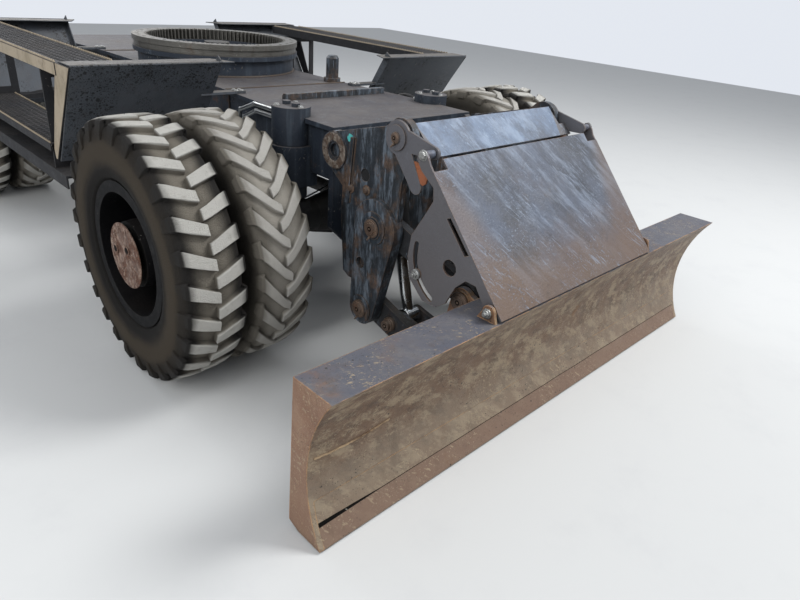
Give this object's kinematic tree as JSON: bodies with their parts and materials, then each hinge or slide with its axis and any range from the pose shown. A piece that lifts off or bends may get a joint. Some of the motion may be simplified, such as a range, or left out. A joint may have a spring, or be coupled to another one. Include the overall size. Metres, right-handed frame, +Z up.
{
  "type": "wheeled excavator undercarriage with dozer blade",
  "caption": "Lower carriage of a wheeled excavator: box chassis with slewing ring seat, twin-tyred axles, steering, steps, fenders and a parallel-lift dozer blade with folding guards.",
  "frame": {"origin": "middle of the bounding box on the ground under the wheels", "axes": "+X to the machine's left side, +Y towards the rear axle, away from the blade, +Z up"},
  "size_m": [2.511, 4.6193, 1.1903],
  "materials": {
    "chassis_paint": "dirty dark navy paint",
    "machined_steel": "greased machined steel",
    "axle_black": "black paint under dust and grease",
    "bracket_paint": "worn blue-grey paint with rust",
    "pipe_steel": "plated hydraulic pipe",
    "fender_grey": "grey sheet with tar spots",
    "step_black": "black anti-slip sheet with cream edges",
    "shaft_steel": "dusty black shaft",
    "chrome_rod": "chromed rod",
    "linkage_steel": "black paint worn to rust",
    "blade_steel": "scraped and rusted steel plate",
    "edge_steel": "worn brown cutting edge",
    "guard_steel": "worn blue-grey steel with rust and scratches",
    "tyre_outer": "dusty block-lug tyre",
    "tyre_inner": "worn chevron tyre, pale with dust",
    "rim_black": "dirty black rim with a rusty hub"
  },
  "bodies": {
    "chassis": {"chassis_frame": "chassis_paint", "frame_front": "chassis_paint", "frame_rear": "chassis_paint", "slew_pedestal": "chassis_paint", "slew_ring": "machined_steel", "centre_joint": "axle_black", "blade_bracket": "bracket_paint", "front_axle": "axle_black", "rear_axle": "axle_black", "travel_gearbox": "axle_black", "axle_locks": "chassis_paint", "steering_cylinder": "axle_black", "hydraulic_pipes": "pipe_steel", "deck_fittings": "bracket_paint", "front_fenders": "fender_grey", "rear_fenders": "fender_grey", "steps_left": "step_black", "steps_right": "step_black", "tow_hitch": "axle_black"},
    "shaft": {"drive_shaft": "shaft_steel"},
    "steer_rod": {"steering_rod": "chrome_rod"},
    "tie_left": {"tie_rod_left": "axle_black"},
    "tie_right": {"tie_rod_right": "axle_black"},
    "steer_left": {"knuckle_left": "axle_black"},
    "steer_right": {"knuckle_right": "axle_black"},
    "arm": {"lower_arm": "linkage_steel"},
    "links": {"upper_links": "linkage_steel"},
    "blade": {"blade_moldboard": "blade_steel", "cutting_edge": "edge_steel"},
    "barrels": {"blade_barrels": "axle_black"},
    "rods": {"blade_rods": "chrome_rod"},
    "top_guard": {"guard_upper": "guard_steel"},
    "front_guard": {"guard_lower": "guard_steel"},
    "wheels_fl": {"tyre_fl_outer": "tyre_outer", "tyre_fl_inner": "tyre_inner", "wheel_fl": "rim_black"},
    "wheels_fr": {"tyre_fr_outer": "tyre_outer", "tyre_fr_inner": "tyre_inner", "wheel_fr": "rim_black"},
    "wheels_rl": {"tyre_rl_outer": "tyre_outer", "tyre_rl_inner": "tyre_inner", "wheel_rl": "rim_black"},
    "wheels_rr": {"tyre_rr_outer": "tyre_outer", "tyre_rr_inner": "tyre_inner", "wheel_rr": "rim_black"}
  },
  "joints": [
    {"name": "blade_lift", "type": "hinge", "parent": "chassis", "child": "arm", "pos_m": [0, -1.566, 0.3], "axis": [-1, 0, 0], "range_deg": [-8, 40]},
    {"name": "upper_link_swing", "type": "hinge", "parent": "chassis", "child": "links", "pos_m": [0, -1.616, 0.68], "axis": [-1, 0, 0], "range_deg": [-8, 40]},
    {"name": "blade_level", "type": "hinge", "parent": "arm", "child": "blade", "pos_m": [0, -2.026, 0.16], "axis": [-1, 0, 0], "range_deg": [-40, 8]},
    {"name": "barrel_swing", "type": "hinge", "parent": "chassis", "child": "barrels", "pos_m": [0, -1.526, 0.868], "axis": [-1, 0, 0], "range_deg": [-0.53, 2.62]},
    {"name": "rod_slide", "type": "slide", "parent": "barrels", "child": "rods", "axis": [0, -0.2701, -0.9628], "range_m": [-0.089, 0.019]},
    {"name": "top_guard_swing", "type": "hinge", "parent": "chassis", "child": "top_guard", "pos_m": [0, -1.706, 1.055], "axis": [-1, 0, 0], "range_deg": [-15.18, 75.84]},
    {"name": "front_guard_tilt", "type": "hinge", "parent": "blade", "child": "front_guard", "pos_m": [0, -2.264, 0.604], "axis": [-1, 0, 0], "range_deg": [-3.33, 16.6]},
    {"name": "steering", "type": "hinge", "parent": "chassis", "child": "steer_left", "pos_m": [0.7, -1.016, 0.525], "axis": [0, 0, 1], "range_deg": [-20, 20]},
    {"name": "steering_right", "type": "hinge", "parent": "chassis", "child": "steer_right", "pos_m": [-0.7, -1.016, 0.525], "axis": [0, 0, 1], "range_deg": [-20, 20]},
    {"name": "steering_rod_slide", "type": "slide", "parent": "chassis", "child": "steer_rod", "axis": [1, 0, 0], "range_m": [-0.074, 0.074]},
    {"name": "tie_rod_left_swing", "type": "hinge", "parent": "steer_left", "child": "tie_left", "pos_m": [0.632, -0.801, 0.415], "axis": [0, 0, 1], "range_deg": [-27.32, 27.32]},
    {"name": "tie_rod_right_swing", "type": "hinge", "parent": "steer_right", "child": "tie_right", "pos_m": [-0.632, -0.801, 0.415], "axis": [0, 0, 1], "range_deg": [-27.32, 27.32]},
    {"name": "wheel_fl_spin", "type": "hinge", "parent": "steer_left", "child": "wheels_fl", "pos_m": [0.977, -1.016, 0.525], "axis": [1, 0, 0], "continuous": true},
    {"name": "wheel_fr_spin", "type": "hinge", "parent": "steer_right", "child": "wheels_fr", "pos_m": [-0.977, -1.016, 0.525], "axis": [1, 0, 0], "continuous": true},
    {"name": "wheel_rl_spin", "type": "hinge", "parent": "chassis", "child": "wheels_rl", "pos_m": [0.977, 1.784, 0.525], "axis": [1, 0, 0], "continuous": true},
    {"name": "wheel_rr_spin", "type": "hinge", "parent": "chassis", "child": "wheels_rr", "pos_m": [-0.977, 1.784, 0.525], "axis": [1, 0, 0], "continuous": true},
    {"name": "drive_shaft_spin", "type": "hinge", "parent": "chassis", "child": "shaft", "pos_m": [0, 0.384, 0.525], "axis": [0, 1, 0], "continuous": true}
  ],
  "couplings": [
    {"joint": "upper_link_swing", "follows": "blade_lift", "ratio": 1},
    {"joint": "blade_level", "follows": "blade_lift", "ratio": -1},
    {"joint": "barrel_swing", "follows": "blade_lift", "ratio": 0.065267},
    {"joint": "rod_slide", "follows": "blade_lift", "m_per_rad": -0.12655},
    {"joint": "top_guard_swing", "follows": "blade_lift", "ratio": 1.8959},
    {"joint": "front_guard_tilt", "follows": "blade_lift", "ratio": 0.41469},
    {"joint": "steering_right", "follows": "steering", "ratio": 1},
    {"joint": "steering_rod_slide", "follows": "steering", "m_per_rad": -0.20992},
    {"joint": "tie_rod_left_swing", "follows": "steering", "ratio": -1.3653},
    {"joint": "tie_rod_right_swing", "follows": "steering", "ratio": -1.3653}
  ]
}
